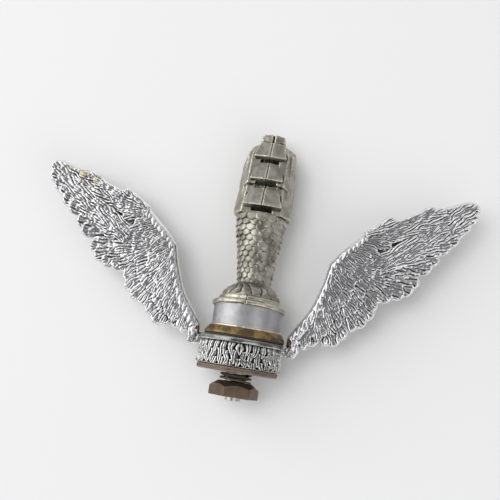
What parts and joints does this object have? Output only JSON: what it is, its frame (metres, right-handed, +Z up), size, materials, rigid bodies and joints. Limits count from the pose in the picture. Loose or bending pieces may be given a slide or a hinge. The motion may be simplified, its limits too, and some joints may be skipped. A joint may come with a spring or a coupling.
{
  "type": "hood ornament",
  "caption": "Winged hood ornament: a mailed hand on a turned drum over a feathered, winged collar, clamped to a bonnet by a central stud, nut and washers.",
  "frame": {"origin": "on the stud's axis in the underside of the collar, where the bonnet or the cap is clamped", "axes": "+Z up along the stud towards the figure, +X to the right along the span of the wings, the back of the hand faces -Y"},
  "size_m": [0.2277, 0.0434, 0.1371],
  "materials": {
    "browned_nut": "browned steel, dull, worn bright on the edges",
    "black_spring": "blackened spring steel",
    "brown_washer": "brown patina, satin",
    "stud_steel": "scratched bright steel",
    "wing_chrome": "bright chrome with dark recesses",
    "gasket_rubber": "dull black",
    "aged_brass": "mottled brown and gold",
    "pale_solder": "pale, uneven",
    "drum_aluminium": "brushed, with pits",
    "bezel_nickel": "worn nickel silver, satin",
    "figure_nickel": "cast nickel silver with dark patina in the recesses"
  },
  "bodies": {
    "figure": {"stud": "stud_steel", "gasket": "gasket_rubber", "brass_base": "aged_brass", "foot_ring": "pale_solder", "drum": "drum_aluminium", "bezel_ring": "bezel_nickel", "mail_sleeve": "figure_nickel", "gauntlet": "figure_nickel"},
    "winged_collar": {"collar": "wing_chrome", "wing_left": "wing_chrome", "wing_right": "wing_chrome", "wing_rivets": "wing_chrome"},
    "washers": {"plain_washer": "brown_washer", "spring_washer": "black_spring"},
    "nut": {"hex_nut": "browned_nut"}
  },
  "joints": [
    {"name": "wing_swivel", "type": "hinge", "parent": "figure", "child": "winged_collar", "pos_m": [0, 0, 0], "axis": [0, 0, 1], "continuous": true},
    {"name": "washer_drop", "type": "slide", "parent": "figure", "child": "washers", "axis": [0, 0, -1], "range_m": [0, 0.0045]},
    {"name": "nut_turn", "type": "hinge", "parent": "washers", "child": "nut", "pos_m": [0, 0, -0.011], "axis": [0, 0, -1], "range_deg": [0, 900]}
  ],
  "couplings": [
    {"joint": "nut_turn", "follows": "washer_drop", "rad_per_m": 3490.7}
  ]
}
